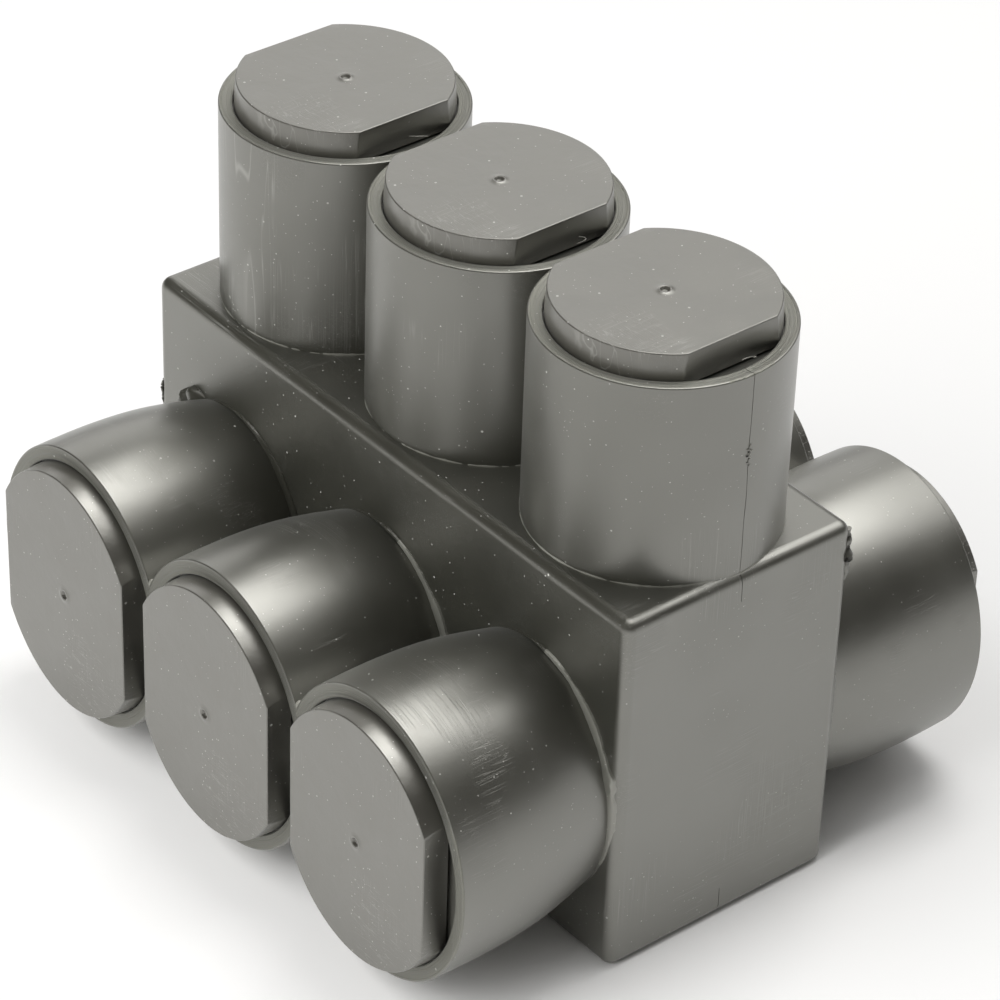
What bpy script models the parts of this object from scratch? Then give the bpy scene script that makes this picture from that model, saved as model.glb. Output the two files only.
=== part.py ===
"""Insulated multi-tap connector for Blender 4.5.

A soft one-piece cover holds an aluminium block. Three screw towers stand on top, and
three wire sleeves leave the front and three the rear. Each of the nine mouths is closed
by a push-in plug, and a hex socket set screw waits above each wire bore.

Metres, +Z up. The origin is the middle of the underside. X runs along the row of ports,
port 1 at -X, and Y runs along the wires, the front sleeves at -Y.
"""
import math

import bmesh
import bpy
from mathutils import Matrix

MM = 0.001

# Row of ports
PORT_COUNT = 3
PORT_PITCH = 25.4 * MM
ROUND_SEGMENTS = 40

# Gaps between pieces that touch or slide
SEAT_GAP = 0.3 * MM
PLUG_FIT_GAP = 0.3 * MM
BLOCK_FIT_GAP = 0.3 * MM
THREAD_GAP = 0.3 * MM

# Screw towers
TOWER_RADIUS = 13.2 * MM
TOWER_HEIGHT = 23.0 * MM
TOWER_FLAT_HALF_WIDTH = 9.9 * MM
TOWER_HEAD_PROUD = 2.7 * MM

# Cover
BODY_SIDE_SHOULDER = 1.5 * MM
BODY_END_SHOULDER = 0.5 * MM
BODY_HEIGHT = 43.5 * MM
BODY_EDGE_ROUNDING = 1.3 * MM
EDGE_SEGMENTS = 3
COVER_WALL = 2.8 * MM

# Wire sleeves, oval: higher than they are wide
SLEEVE_AXIS_HEIGHT = 18.8 * MM
SLEEVE_LENGTH = 19.8 * MM
SLEEVE_MOUTH_HALF_WIDTH = 14.4 * MM
SLEEVE_MOUTH_HALF_HEIGHT = 16.56 * MM
SLEEVE_ROOT_HALF_WIDTH = 12.9 * MM
SLEEVE_FLAT_HALF_WIDTH = 10.8 * MM
SLEEVE_HEAD_PROUD = 2.2 * MM

# Rim of every mouth
RIM_WIDTH = 1.8 * MM
RIM_LIP_WIDTH = 0.35 * MM
RIM_SLOPE_DEPTH = 0.5 * MM
RIM_SEAT_DEPTH = 1.1 * MM
HEAD_SIDE_GAP = 0.35 * MM
SEAT_LEDGE = 0.4 * MM

# Plugs
SKIRT_LENGTH = 8.0 * MM
SKIRT_WALL = 1.5 * MM
SKIRT_LEAD_IN = 0.6 * MM
HEAD_WEB = 2.2 * MM
HEAD_EDGE_ROUNDING = 0.4 * MM
HEAD_EDGE_SEGMENTS = 2

# Aluminium block
WIRE_BORE_RADIUS = 7.8 * MM
BORE_CHAMFER = 0.6 * MM
BLOCK_EDGE = 0.5 * MM
BLOCK_EDGE_SEGMENTS = 1

# Set screws
SCREW_RADIUS = 7.9 * MM
SCREW_LENGTH = 20.0 * MM
SCREW_CHAMFER = 1.0 * MM
SCREW_LIFT = 0.4 * MM
SCREW_TRAVEL = 13.4 * MM
HEX_SIDES = 6
HEX_ACROSS_FLATS = 8.0 * MM
HEX_DEPTH = 8.5 * MM
SCREW_HOLE_SPARE = 0.5 * MM

# Places worked out from the sizes above
BODY_HALF_DEPTH = TOWER_RADIUS + BODY_SIDE_SHOULDER
BODY_HALF_LENGTH = (PORT_COUNT - 1) / 2 * PORT_PITCH + TOWER_RADIUS + BODY_END_SHOULDER
TOWER_TOP = BODY_HEIGHT + TOWER_HEIGHT
SLEEVE_REACH = BODY_HALF_DEPTH + SLEEVE_LENGTH
SLEEVE_OVAL = SLEEVE_MOUTH_HALF_HEIGHT / SLEEVE_MOUTH_HALF_WIDTH
CAVITY_HALF_LENGTH = BODY_HALF_LENGTH - COVER_WALL
CAVITY_HALF_DEPTH = BODY_HALF_DEPTH - COVER_WALL
CAVITY_TOP = BODY_HEIGHT - COVER_WALL
BLOCK_HALF_LENGTH = CAVITY_HALF_LENGTH - BLOCK_FIT_GAP
BLOCK_HALF_DEPTH = CAVITY_HALF_DEPTH - BLOCK_FIT_GAP
BLOCK_BOTTOM = COVER_WALL + BLOCK_FIT_GAP
BLOCK_TOP = CAVITY_TOP - BLOCK_FIT_GAP
SCREW_BOTTOM = SLEEVE_AXIS_HEIGHT + WIRE_BORE_RADIUS + SCREW_LIFT
SCREW_HOLE_RADIUS = SCREW_RADIUS + THREAD_GAP
SCREW_HOLE_BOTTOM = SCREW_BOTTOM - SCREW_TRAVEL - SCREW_HOLE_SPARE

# How far a cutter or a root reaches past the face that it crosses
OVERSHOOT = 1.0 * MM
MERGE_DISTANCE = 0.00001
SHARP_ANGLE = math.radians(30)


class Mouth:
    """Sizes shared by one kind of mouth and the plug that closes it, in its own frame: +Z points out."""

    def __init__(self, half_width, oval, flat_half_width, head_proud, depth_to_cavity):
        self.half_width = half_width
        self.oval = oval
        self.flat_half_width = flat_half_width
        self.head_proud = head_proud
        self.depth_to_cavity = depth_to_cavity
        self.head_radius = half_width - RIM_WIDTH
        self.recess_radius = self.head_radius + HEAD_SIDE_GAP
        self.bore_radius = flat_half_width - SEAT_LEDGE
        self.skirt_radius = self.bore_radius - PLUG_FIT_GAP


TOWER_MOUTH = Mouth(TOWER_RADIUS, 1.0, TOWER_FLAT_HALF_WIDTH, TOWER_HEAD_PROUD, TOWER_TOP - CAVITY_TOP)
SLEEVE_MOUTH = Mouth(SLEEVE_MOUTH_HALF_WIDTH, SLEEVE_OVAL, SLEEVE_FLAT_HALF_WIDTH, SLEEVE_HEAD_PROUD,
                     SLEEVE_REACH - CAVITY_HALF_DEPTH)

# Turns a shape that points up into one that points out of the front or the rear
FACING_FRONT = Matrix.Rotation(math.radians(90), 4, "X")
FACING_REAR = Matrix.Rotation(math.radians(-90), 4, "X")
FACING_UP = Matrix.Identity(4)


def port_x(index):
    """Middle of a port along the row, counted from 0 at -X."""
    return (index - (PORT_COUNT - 1) / 2) * PORT_PITCH


def tower_place(index):
    return Matrix.Translation((port_x(index), 0, TOWER_TOP)) @ FACING_UP


def front_place(index):
    return Matrix.Translation((port_x(index), -SLEEVE_REACH, SLEEVE_AXIS_HEIGHT)) @ FACING_FRONT


def rear_place(index):
    return Matrix.Translation((port_x(index), SLEEVE_REACH, SLEEVE_AXIS_HEIGHT)) @ FACING_REAR


def new_collection(name):
    collection = bpy.data.collections.new(name)
    bpy.context.scene.collection.children.link(collection)
    return collection


def principled(name, colour, roughness, metallic=0.0):
    material = bpy.data.materials.new(name)
    material.use_nodes = True
    shader = material.node_tree.nodes["Principled BSDF"]
    shader.inputs["Base Color"].default_value = (*colour, 1.0)
    shader.inputs["Roughness"].default_value = roughness
    shader.inputs["Metallic"].default_value = metallic
    material.diffuse_color = (*colour, 1.0)
    return material


def mesh_object(name, build, collection):
    """New object whose mesh is filled by build(bm)."""
    bm = bmesh.new()
    build(bm)
    mesh = bpy.data.meshes.new(name)
    bm.to_mesh(mesh)
    bm.free()
    obj = bpy.data.objects.new(name, mesh)
    collection.objects.link(obj)
    return obj


def box(name, low, high, collection):
    """Cube primitive stretched between two corners."""
    size = [b - a for a, b in zip(low, high)]
    middle = [(a + b) / 2 for a, b in zip(low, high)]

    def build(bm):
        bmesh.ops.create_cube(bm, size=1.0, matrix=Matrix.Translation(middle) @ Matrix.Diagonal((*size, 1)))

    return mesh_object(name, build, collection)


def cone(name, low_radius, high_radius, bottom, top, collection, segments=ROUND_SEGMENTS):
    """Capped cone or cylinder primitive about its own Z."""
    place = Matrix.Translation((0, 0, (bottom + top) / 2))

    def build(bm):
        bmesh.ops.create_cone(bm, cap_ends=True, segments=segments, radius1=low_radius,
                              radius2=high_radius, depth=top - bottom, matrix=place)

    return mesh_object(name, build, collection)


def turned(name, profile, collection):
    """Closed turned solid about Z. The profile of (radius, height) runs from the top down its outer side."""

    def build(bm):
        points = [bm.verts.new((radius, 0, height)) for radius, height in profile]
        for start, end in zip(points, points[1:]):
            bm.edges.new((start, end))

    obj = mesh_object(name, build, collection)
    screw = obj.modifiers.new("Turn", "SCREW")
    screw.axis = "Z"
    screw.angle = math.tau
    screw.steps = ROUND_SEGMENTS
    screw.render_steps = ROUND_SEGMENTS
    screw.use_merge_vertices = True
    screw.merge_threshold = MERGE_DISTANCE
    return obj


def set_oval(obj, oval):
    """Fixes the object's modifiers in its mesh and stretches it along its own Y."""
    evaluated = obj.evaluated_get(bpy.context.evaluated_depsgraph_get())
    mesh = bpy.data.meshes.new_from_object(evaluated)
    mesh.transform(Matrix.Diagonal((1, oval, 1, 1)))
    obj.modifiers.clear()
    obj.data = mesh
    return obj


def combine(target, other, operation):
    """Boolean modifier on target. The other object becomes a guide that is not part of the model."""
    other.hide_render = True
    other.display_type = "WIRE"
    modifier = target.modifiers.new(other.name, "BOOLEAN")
    modifier.operation = operation
    modifier.solver = "EXACT"
    modifier.object = other


def round_edges(obj, width, segments):
    bevel = obj.modifiers.new("Rounded edges", "BEVEL")
    bevel.width = width
    bevel.segments = segments


def arc(middle_radius, middle_height, size, first_angle, last_angle, steps):
    """Points of a small quarter round in a turned profile, angles in degrees from +radius."""
    points = []
    for step in range(steps + 1):
        angle = math.radians(first_angle + (last_angle - first_angle) * step / steps)
        points.append((middle_radius + size * math.cos(angle), middle_height + size * math.sin(angle)))
    return points


def mouth_cutter(name, mouth, place, cutters):
    """Space of one mouth: sloping rim, recess for the plug's head and bore down to the cavity."""
    lip_radius = mouth.half_width - RIM_LIP_WIDTH
    profile = [
        (0, OVERSHOOT),
        (lip_radius, OVERSHOOT),
        (lip_radius, 0),
        (mouth.recess_radius, -RIM_SLOPE_DEPTH),
        (mouth.recess_radius, -RIM_SEAT_DEPTH),
        (mouth.bore_radius, -RIM_SEAT_DEPTH),
        (mouth.bore_radius, -mouth.depth_to_cavity - OVERSHOOT),
        (0, -mouth.depth_to_cavity - OVERSHOOT),
    ]
    cutter = set_oval(turned(name, profile, cutters), mouth.oval)
    cutter.matrix_world = place
    return cutter


def make_cover(parts, cutters):
    """One-piece moulding: body, three towers and six sleeves, hollow for the block and open at nine mouths."""
    cover = box("insulating_cover", (-BODY_HALF_LENGTH, -BODY_HALF_DEPTH, 0),
                (BODY_HALF_LENGTH, BODY_HALF_DEPTH, BODY_HEIGHT), parts)
    round_edges(cover, BODY_EDGE_ROUNDING, EDGE_SEGMENTS)
    root = COVER_WALL / 2
    taper = (SLEEVE_MOUTH_HALF_WIDTH - SLEEVE_ROOT_HALF_WIDTH) / SLEEVE_LENGTH
    inner_half_width = SLEEVE_ROOT_HALF_WIDTH - taper * root
    for index in range(PORT_COUNT):
        tower = cone(f"tower_form_{index + 1}", TOWER_RADIUS, TOWER_RADIUS, -TOWER_HEIGHT - root, 0, cutters)
        tower.matrix_world = tower_place(index)
        combine(cover, tower, "UNION")
        for side, place in (("front", front_place(index)), ("rear", rear_place(index))):
            sleeve = cone(f"{side}_sleeve_form_{index + 1}", inner_half_width, SLEEVE_MOUTH_HALF_WIDTH,
                          -SLEEVE_LENGTH - root, 0, cutters)
            set_oval(sleeve, SLEEVE_OVAL)
            sleeve.matrix_world = place
            combine(cover, sleeve, "UNION")
    cavity = box("block_cavity", (-CAVITY_HALF_LENGTH, -CAVITY_HALF_DEPTH, COVER_WALL),
                 (CAVITY_HALF_LENGTH, CAVITY_HALF_DEPTH, CAVITY_TOP), cutters)
    combine(cover, cavity, "DIFFERENCE")
    for index in range(PORT_COUNT):
        for name, mouth, place in (("tower", TOWER_MOUTH, tower_place(index)),
                                   ("front", SLEEVE_MOUTH, front_place(index)),
                                   ("rear", SLEEVE_MOUTH, rear_place(index))):
            cutter = mouth_cutter(f"{name}_mouth_{index + 1}", mouth, place, cutters)
            combine(cover, cutter, "DIFFERENCE")
    return cover


def make_block(parts, cutters):
    """Aluminium bar with a through bore for each wire and a hole above each for its set screw."""
    block = box("connector_block", (-BLOCK_HALF_LENGTH, -BLOCK_HALF_DEPTH, BLOCK_BOTTOM),
                (BLOCK_HALF_LENGTH, BLOCK_HALF_DEPTH, BLOCK_TOP), parts)
    round_edges(block, BLOCK_EDGE, BLOCK_EDGE_SEGMENTS)
    wide = WIRE_BORE_RADIUS + BORE_CHAMFER
    bore_profile = [
        (0, BLOCK_HALF_DEPTH + OVERSHOOT),
        (wide, BLOCK_HALF_DEPTH + OVERSHOOT),
        (wide, BLOCK_HALF_DEPTH),
        (WIRE_BORE_RADIUS, BLOCK_HALF_DEPTH - BORE_CHAMFER),
        (WIRE_BORE_RADIUS, -BLOCK_HALF_DEPTH + BORE_CHAMFER),
        (wide, -BLOCK_HALF_DEPTH),
        (wide, -BLOCK_HALF_DEPTH - OVERSHOOT),
        (0, -BLOCK_HALF_DEPTH - OVERSHOOT),
    ]
    hole_profile = [
        (0, BLOCK_TOP + OVERSHOOT),
        (SCREW_HOLE_RADIUS + BORE_CHAMFER, BLOCK_TOP + OVERSHOOT),
        (SCREW_HOLE_RADIUS + BORE_CHAMFER, BLOCK_TOP),
        (SCREW_HOLE_RADIUS, BLOCK_TOP - BORE_CHAMFER),
        (SCREW_HOLE_RADIUS, SCREW_HOLE_BOTTOM),
        (0, SCREW_HOLE_BOTTOM),
    ]
    for index in range(PORT_COUNT):
        bore = turned(f"wire_bore_{index + 1}", bore_profile, cutters)
        bore.matrix_world = Matrix.Translation((port_x(index), 0, SLEEVE_AXIS_HEIGHT)) @ FACING_FRONT
        combine(block, bore, "DIFFERENCE")
        hole = turned(f"screw_hole_{index + 1}", hole_profile, cutters)
        hole.location = (port_x(index), 0, 0)
        combine(block, hole, "DIFFERENCE")
    return block


def make_set_screw(index, parts, cutters):
    """Headless screw with a hex socket, its origin on its axis at its lower end."""
    tip = SCREW_RADIUS - SCREW_CHAMFER
    profile = [
        (0, SCREW_LENGTH),
        (SCREW_RADIUS - SCREW_CHAMFER / 2, SCREW_LENGTH),
        (SCREW_RADIUS, SCREW_LENGTH - SCREW_CHAMFER / 2),
        (SCREW_RADIUS, SCREW_CHAMFER),
        (tip, 0),
        (0, 0),
    ]
    place = Matrix.Translation((port_x(index), 0, SCREW_BOTTOM))
    screw = turned(f"set_screw_{index + 1}", profile, parts)
    screw.matrix_world = place
    corner_radius = HEX_ACROSS_FLATS / 2 / math.cos(math.pi / HEX_SIDES)
    socket = cone(f"hex_socket_{index + 1}", corner_radius, corner_radius, SCREW_LENGTH - HEX_DEPTH,
                  SCREW_LENGTH + OVERSHOOT, cutters, segments=HEX_SIDES)
    socket.matrix_world = place
    combine(screw, socket, "DIFFERENCE")
    return screw


def make_plug(name, mouth, place, parts, cutters):
    """Push-in plug: a disc head with two flats and a hollow skirt, its origin at the middle of the rim."""
    head_bottom = SEAT_GAP - RIM_SEAT_DEPTH
    skirt_end = head_bottom - SKIRT_LENGTH
    skirt_inside = mouth.skirt_radius - SKIRT_WALL
    cup_bottom = mouth.head_proud - HEAD_WEB
    edge = HEAD_EDGE_ROUNDING
    profile = [(0, mouth.head_proud)]
    profile += arc(mouth.head_radius - edge, mouth.head_proud - edge, edge, 90, 0,
                   HEAD_EDGE_SEGMENTS)
    profile += [
        (mouth.head_radius, head_bottom),
        (mouth.skirt_radius, head_bottom),
        (mouth.skirt_radius, skirt_end + SKIRT_LEAD_IN),
        (mouth.skirt_radius - SKIRT_LEAD_IN, skirt_end),
        (skirt_inside, skirt_end),
        (skirt_inside, cup_bottom),
        (0, cup_bottom),
    ]
    plug = set_oval(turned(name, profile, parts), mouth.oval)
    plug.matrix_world = place
    reach = mouth.head_radius + OVERSHOOT
    for side in (-1, 1):
        near = side * mouth.flat_half_width
        far = side * reach
        flat = box(f"{name}_flat_{'left' if side < 0 else 'right'}",
                   (min(near, far), -reach * mouth.oval, head_bottom - OVERSHOOT),
                   (max(near, far), reach * mouth.oval, mouth.head_proud + OVERSHOOT), cutters)
        flat.matrix_world = place
        combine(plug, flat, "DIFFERENCE")
    return plug


def finish(obj, material, frame):
    """Gives the piece its material and smooth shading, and parents it to the connector's frame."""
    obj.data.materials.clear()
    obj.data.materials.append(material)
    obj.data.shade_smooth()
    if obj.data.polygons:
        obj.data.set_sharp_from_angle(angle=SHARP_ANGLE)
    placed = obj.matrix_world.copy()
    obj.parent = frame
    obj.matrix_world = placed


def main():
    for obj in list(bpy.data.objects):
        bpy.data.objects.remove(obj, do_unlink=True)
    parts = new_collection("insulated_tap_connector")
    cutters = new_collection("forms_and_cutters")
    frame = bpy.data.objects.new("connector_frame", None)
    parts.objects.link(frame)

    finish(make_cover(parts, cutters), principled("cover_moulding", (0.045, 0.045, 0.036), 0.38), frame)
    finish(make_block(parts, cutters), principled("block_aluminium", (0.78, 0.78, 0.77), 0.32, 1.0), frame)
    for index in range(PORT_COUNT):
        number = index + 1
        screw = make_set_screw(index, parts, cutters)
        finish(screw, principled(f"set_screw_{number}_aluminium", (0.72, 0.73, 0.74), 0.28, 1.0), frame)
        for name, mouth, place in ((f"screw_plug_{number}", TOWER_MOUTH, tower_place(index)),
                                   (f"front_port_plug_{number}", SLEEVE_MOUTH, front_place(index)),
                                   (f"rear_port_plug_{number}", SLEEVE_MOUTH, rear_place(index))):
            plug = make_plug(name, mouth, place, parts, cutters)
            finish(plug, principled(f"{name}_moulding", (0.085, 0.083, 0.07), 0.5), frame)


main()
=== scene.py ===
"""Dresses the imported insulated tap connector: moulded cover, push-in plugs, set screws and block.

Metres, +Z up. X runs along the row of ports, port 1 at -X. The front sleeves leave at -Y.
"""
import itertools
import math

import bmesh
import bpy
from mathutils import Euler, Matrix, Vector, noise


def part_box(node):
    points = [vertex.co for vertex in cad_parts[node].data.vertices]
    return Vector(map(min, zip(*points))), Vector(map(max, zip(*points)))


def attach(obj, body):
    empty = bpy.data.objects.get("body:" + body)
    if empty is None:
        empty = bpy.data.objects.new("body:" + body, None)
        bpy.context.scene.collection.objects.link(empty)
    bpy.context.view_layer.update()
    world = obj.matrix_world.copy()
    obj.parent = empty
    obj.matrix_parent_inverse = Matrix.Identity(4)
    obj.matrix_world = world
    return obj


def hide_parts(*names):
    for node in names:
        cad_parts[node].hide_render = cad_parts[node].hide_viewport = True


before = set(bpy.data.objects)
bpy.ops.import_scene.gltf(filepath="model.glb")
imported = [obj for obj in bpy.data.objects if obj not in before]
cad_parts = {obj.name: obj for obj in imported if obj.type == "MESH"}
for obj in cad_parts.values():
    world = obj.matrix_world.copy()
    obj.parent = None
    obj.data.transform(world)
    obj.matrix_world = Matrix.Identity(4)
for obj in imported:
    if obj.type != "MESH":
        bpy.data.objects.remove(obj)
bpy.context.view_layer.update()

bl_info = {
    "name": "Insulated Tap Connector",
    "version": (1, 0, 0),
    "blender": (4, 5, 0),
    "location": "3D View > Sidebar > Tap Connector",
    "description": "Builds the looks of a three port insulated tap connector around its packed frame",
    "category": "Object",
}

MM = 0.001
PORTS = (1, 2, 3)

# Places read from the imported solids
COVER_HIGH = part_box("insulating_cover")[1]
SCREW_PLUG_LOW, SCREW_PLUG_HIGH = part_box("screw_plug_2")
PORT_PLUG_LOW, PORT_PLUG_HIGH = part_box("front_port_plug_2")
SET_SCREW_LOW, SET_SCREW_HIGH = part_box("set_screw_2")
PITCH = SCREW_PLUG_LOW.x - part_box("screw_plug_1")[0].x
TOWER_TOP = COVER_HIGH.z
SLEEVE_REACH = COVER_HIGH.y
SLEEVE_AXIS = (PORT_PLUG_LOW.z + PORT_PLUG_HIGH.z) / 2
SLEEVE_HALF_WIDTH = COVER_HIGH.x - PITCH


def length(name, description, default):
    """Length property, its default in metres."""
    return bpy.props.FloatProperty(name=name, description=description, default=default, min=0.0,
                                   precision=5, subtype="DISTANCE", unit="LENGTH")


def colour(name, description, default):
    """Colour property, its default as linear red, green and blue."""
    return bpy.props.FloatVectorProperty(name=name, description=description, default=default, size=3,
                                         min=0.0, max=1.0, subtype="COLOR")


def share(name, description, default):
    """Plain number from 0 to 1."""
    return bpy.props.FloatProperty(name=name, description=description, default=default, min=0.0, max=1.0,
                                   subtype="FACTOR")


class CoverSizes(bpy.types.PropertyGroup):
    body_height: length("Body height", "Height of the rectangular body", 43.5 * MM)
    body_half_length: length("Body half length", "Middle of the body to its end face", 39.1 * MM)
    body_half_depth: length("Body half depth", "Middle of the body to its front face", 14.7 * MM)
    body_rounding: length("Body rounding", "Radius of the body's edges", 1.3 * MM)
    tower_radius: length("Tower radius", "Outer radius of a screw tower", 13.2 * MM)
    sleeve_root_half_width: length("Sleeve root half width", "Half width of a sleeve at the body", 12.5 * MM)
    sleeve_root_half_height: length("Sleeve root half height", "Half height of a sleeve at the body",
                                    14.8 * MM)
    sleeve_swell: length("Sleeve swell", "How far a sleeve bulges between mouth and root", 0.85 * MM)
    collar_width: length("Collar width", "Widest part of the collar beside a sleeve's root", 1.0 * MM)
    seam_width: length("Seam width", "Width of the moulding seam on the two end towers", 0.07 * MM)
    rim_width: length("Rim width", "Outer edge of a mouth to its plug's head", 1.8 * MM)
    lip_width: length("Lip width", "Flat outer part of a rim", 0.35 * MM)
    lip_rounding: length("Lip rounding", "Radius of a rim's outer edge", 0.16 * MM)
    slope_depth: length("Slope depth", "Depth of the slope inside the lip", 0.16 * MM)
    seat_depth: length("Seat depth", "Depth of the plug's seat below the rim", 1.1 * MM)
    head_gap: length("Head gap", "Gap round a plug's head", 0.28 * MM)
    seat_ledge: length("Seat ledge", "Width of the ledge under a plug's flats", 0.4 * MM)
    wall: length("Wall", "Thickness of the cover round the block", 2.8 * MM)


class PlugSizes(bpy.types.PropertyGroup):
    skirt_length: length("Skirt length", "Length of the hollow skirt", 8.0 * MM)
    skirt_wall: length("Skirt wall", "Thickness of the skirt", 1.5 * MM)
    skirt_gap: length("Skirt gap", "Gap between skirt and bore", 0.3 * MM)
    seat_gap: length("Seat gap", "Gap between head and seat", 0.3 * MM)
    head_web: length("Head web", "Thickness of the head's middle", 2.2 * MM)
    head_rounding: length("Head rounding", "Radius of the head's edge", 0.14 * MM)
    head_draft: length("Head draft", "How much the head widens from its face to its seat", 0.16 * MM)
    corner_rounding: length("Corner rounding", "Radius where a flat meets the round", 0.5 * MM)
    gate_radius: length("Gate radius", "Radius of the moulding gate's mark", 0.85 * MM)


class ScrewSizes(bpy.types.PropertyGroup):
    thread_pitch: length("Thread pitch", "Distance between two turns of the thread", 1.6 * MM)
    thread_depth: length("Thread depth", "Depth of the thread", 0.85 * MM)
    across_flats: length("Across flats", "Width of the hex socket", 8.0 * MM)
    socket_depth: length("Socket depth", "Depth of the hex socket", 8.5 * MM)
    chamfer: length("Chamfer", "Chamfer at the lower end", 1.0 * MM)


class MouldingColours(bpy.types.PropertyGroup):
    cover: colour("Cover", "Soft black plastic of the cover", (0.022, 0.022, 0.017))
    plug: colour("Plug", "Matt black plastic of the plugs", (0.036, 0.034, 0.029))
    # Pale colour that paints the bright edge highlight on the wide collars and on the flash round the tower
    # roots; the webs and rim curls use it too.
    flash: colour("Flash", "Thin edges where the plastic is stretched pale", (0.15, 0.15, 0.13))
    dust: colour("Dust", "Specks of pale dust", (0.62, 0.62, 0.58))
    aluminium: colour("Aluminium", "Bare machined metal", (0.80, 0.80, 0.79))
    floor: colour("Floor", "Paper under the connector", (0.90, 0.895, 0.885))
    dust_amount: share("Dust amount", "How many specks lie on the plastic", 0.5)


# Meshes


def own_collection():
    """Collection that holds every piece of the looks."""
    found = bpy.data.collections.get("tap_connector_looks")
    if found is None:
        found = bpy.data.collections.new("tap_connector_looks")
        bpy.context.scene.collection.children.link(found)
    return found


def mesh_object(name, bm):
    """New object from a bmesh, which it uses up."""
    mesh = bpy.data.meshes.new(name)
    bm.normal_update()
    bm.to_mesh(mesh)
    bm.free()
    obj = bpy.data.objects.new(name, mesh)
    own_collection().objects.link(obj)
    return obj


def loft(rings):
    """Closed bmesh through rings of points. A ring of one point closes that end."""
    bm = bmesh.new()
    rows = [[bm.verts.new(point) for point in ring] for ring in rings]
    for upper, lower in zip(rows, rows[1:]):
        count = max(len(upper), len(lower))
        for step in range(count):
            after = (step + 1) % count
            corners = [upper[step % len(upper)], lower[step % len(lower)],
                       lower[after % len(lower)], upper[after % len(upper)]]
            corners = list(dict.fromkeys(corners))
            bm.faces.new(corners)
    bmesh.ops.recalc_face_normals(bm, faces=bm.faces)
    return bm


def circle(radius, height, segments, oval=1.0):
    """Ring of points about Z, or one point where the radius is 0."""
    if radius == 0:
        return [Vector((0, 0, height))]
    points = []
    for step in range(segments):
        angle = math.tau * step / segments
        points.append(Vector((radius * math.cos(angle), radius * oval * math.sin(angle), height)))
    return points


def turned(name, profile, segments, oval=1.0):
    """Solid turned about Z from a profile of (radius, height)."""
    return mesh_object(name, loft([circle(r, z, segments, oval) for r, z in profile]))


def quarter(radius, height, size, first, last, steps):
    """Points of a small quarter round in a profile, angles in degrees from +radius."""
    points = []
    for step in range(steps + 1):
        angle = math.radians(first + (last - first) * step / steps)
        points.append((radius + size * math.cos(angle), height + size * math.sin(angle)))
    return points


def rounded_box(name, low, high, rounding, steps):
    bm = bmesh.new()
    middle = (Vector(low) + Vector(high)) / 2
    size = Vector(high) - Vector(low)
    bmesh.ops.create_cube(bm, size=1.0, matrix=Matrix.Translation(middle) @ Matrix.Diagonal((*size, 1)))
    if rounding:
        bmesh.ops.bevel(bm, geom=list(bm.edges), offset=rounding, segments=steps, profile=0.5,
                        affect="EDGES")
    return mesh_object(name, bm)


def combine(target, others, operation):
    """Joins the other solids to the target or cuts them out, fixes the result and deletes the others."""
    group = bpy.data.collections.new("forms")
    for other in others:
        group.objects.link(other)
    modifier = target.modifiers.new(operation, "BOOLEAN")
    modifier.operation = operation
    modifier.solver = "EXACT"
    modifier.operand_type = "COLLECTION"
    modifier.collection = group
    bpy.context.view_layer.update()
    evaluated = target.evaluated_get(bpy.context.evaluated_depsgraph_get())
    mesh = bpy.data.meshes.new_from_object(evaluated)
    target.modifiers.clear()
    target.data = mesh
    for other in others:
        bpy.data.objects.remove(other, do_unlink=True)
    bpy.data.collections.remove(group)


def shade(obj, degrees):
    """Smooth shading, sharp where faces meet at more than the angle, flat faces kept flat."""
    obj.data.shade_smooth()
    obj.data.set_sharp_from_angle(angle=math.radians(degrees))
    weighted = obj.modifiers.new("Weighted normals", "WEIGHTED_NORMAL")
    weighted.keep_sharp = True


def port_x(port):
    return (port - 2) * PITCH


def tower_place(port):
    return Matrix.Translation((port_x(port), 0, TOWER_TOP))


def sleeve_place(port, side, reach):
    """Place on a sleeve's axis with +Z out of its mouth. Side is -1 at the front and 1 at the rear."""
    middle = Matrix.Translation((port_x(port), side * reach, SLEEVE_AXIS))
    return middle @ Matrix.Rotation(-side * math.pi / 2, 4, "X")


def mouth_places(port):
    """Name, kind and place of the three mouths of a port."""
    return (("tower", "tower", tower_place(port)),
            ("front", "sleeve", sleeve_place(port, -1, SLEEVE_REACH)),
            ("rear", "sleeve", sleeve_place(port, 1, SLEEVE_REACH)))


class Mouth:
    """Sizes of one kind of mouth, tower or sleeve, and its plug, with +Z out of the mouth."""

    def __init__(self, kind, sizes):
        tower = kind == "tower"
        low, high = (SCREW_PLUG_LOW, SCREW_PLUG_HIGH) if tower else (PORT_PLUG_LOW, PORT_PLUG_HIGH)
        reach, root = (TOWER_TOP, sizes.body_height) if tower else (SLEEVE_REACH, sizes.body_half_depth)
        self.half_width = sizes.tower_radius if tower else SLEEVE_HALF_WIDTH
        self.head_radius = self.half_width - sizes.rim_width
        self.oval = 1.0 if tower else (high.z - low.z) / 2 / self.head_radius
        self.flat = (high.x - low.x) / 2
        self.proud = (high.z if tower else -low.y) - reach
        self.recess_radius = self.head_radius + sizes.head_gap
        self.bore_radius = self.flat - sizes.seat_ledge
        self.depth = reach - root + sizes.wall


def both_mouths(sizes):
    """The two kinds of mouth by name."""
    return {kind: Mouth(kind, sizes) for kind in ("tower", "sleeve")}


# Shader helpers


def node(tree, kind, inputs=None, **settings):
    """Adds a shader node. Each input is a plain value or the socket that feeds it."""
    made = tree.nodes.new("ShaderNode" + kind)
    for key, value in settings.items():
        setattr(made, key, value)
    for key, value in (inputs or {}).items():
        socket = made.inputs[key]
        if isinstance(value, bpy.types.NodeSocket):
            tree.links.new(value, socket)
        else:
            socket.default_value = value
    return made


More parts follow.
